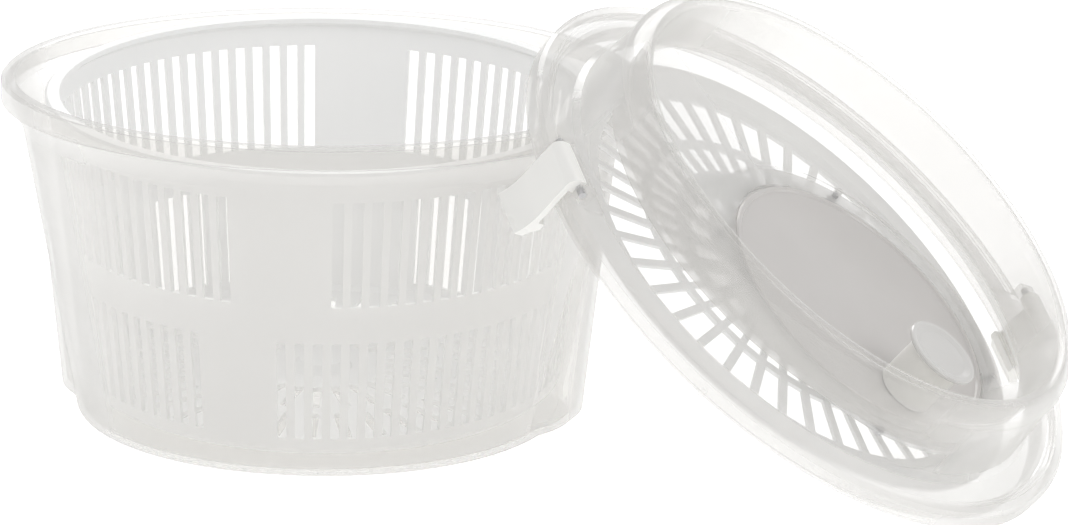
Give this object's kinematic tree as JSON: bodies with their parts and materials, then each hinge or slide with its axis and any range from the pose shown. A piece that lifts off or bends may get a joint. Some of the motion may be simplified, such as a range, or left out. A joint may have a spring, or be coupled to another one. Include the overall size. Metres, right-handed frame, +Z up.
{
  "type": "salad spinner",
  "caption": "Salad spinner with a flanged translucent bowl, a slotted basket on a centre pivot, and a domed lid whose offset geared crank turns a slotted plate.",
  "frame": {"origin": "centre of the bowl's base, on the surface it stands on", "axes": "+Z up along the bowl's axis; the lid leans on the flange towards +X and -Y"},
  "size_m": [0.4306, 0.3383, 0.1853],
  "materials": {
    "bowl_plastic": "milky translucent polypropylene, smooth",
    "basket_plastic": "white polypropylene, satin",
    "lid_plastic": "milky translucent polypropylene, glossy",
    "housing_plastic": "pale grey translucent plastic",
    "disc_plastic": "warm grey, glossy",
    "gear_plastic": "natural acetal",
    "knob_plastic": "cream white, satin",
    "cap_plastic": "pale, glossy",
    "clip_plastic": "white, satin",
    "screw_steel": "zinc plated"
  },
  "bodies": {
    "bowl": {"bowl": "bowl_plastic"},
    "basket": {"basket": "basket_plastic"},
    "lid": {"lid": "lid_plastic", "gear_housing": "housing_plastic", "housing_screws": "screw_steel", "clip_pin_left": "screw_steel", "clip_pin_right": "screw_steel"},
    "crank": {"crank_disc": "disc_plastic", "ring_gear": "gear_plastic", "ring_gear_screws": "screw_steel", "crank_spindle": "screw_steel", "spindle_washer": "screw_steel", "spindle_screw": "screw_steel", "knob_washer": "screw_steel", "knob_screw": "screw_steel"},
    "knob": {"knob": "knob_plastic", "knob_cap": "cap_plastic"},
    "plate": {"spinner_plate": "basket_plastic", "pinion": "gear_plastic", "pinion_washer": "screw_steel", "pinion_screw": "screw_steel"},
    "clip_left": {"clip_left": "clip_plastic"},
    "clip_right": {"clip_right": "clip_plastic"}
  },
  "joints": [
    {"name": "basket_spin", "type": "hinge", "parent": "bowl", "child": "basket", "pos_m": [0, 0, 0.016], "axis": [0.0055, -0.0644, 0.9979], "continuous": true},
    {"name": "lid_clear", "type": "slide", "parent": "bowl", "child": "lid", "axis": [0.8945, -0.4471, 0], "range_m": [0, 0.12]},
    {"name": "crank_turn", "type": "hinge", "parent": "lid", "child": "crank", "pos_m": [0.21315, -0.0805, 0.06725], "axis": [0.5816, -0.2907, 0.7598], "continuous": true},
    {"name": "knob_spin", "type": "hinge", "parent": "crank", "child": "knob", "pos_m": [0.23485, -0.11649, 0.05003], "axis": [0.5816, -0.2907, 0.7598], "continuous": true},
    {"name": "plate_spin", "type": "hinge", "parent": "lid", "child": "plate", "pos_m": [0.18922, -0.08111, 0.08534], "axis": [0.5816, -0.2907, 0.7598], "continuous": true},
    {"name": "clip_left_snap", "type": "hinge", "parent": "lid", "child": "clip_left", "pos_m": [0.10008, -0.15537, 0.14122], "axis": [-0.3134, 0.7818, 0.539], "range_deg": [0, 75]},
    {"name": "clip_right_snap", "type": "hinge", "parent": "lid", "child": "clip_right", "pos_m": [0.29256, -0.01393, 0.048], "axis": [0.3134, -0.7818, -0.539], "range_deg": [0, 75]}
  ],
  "couplings": [
    {"joint": "plate_spin", "follows": "crank_turn", "ratio": 3}
  ]
}
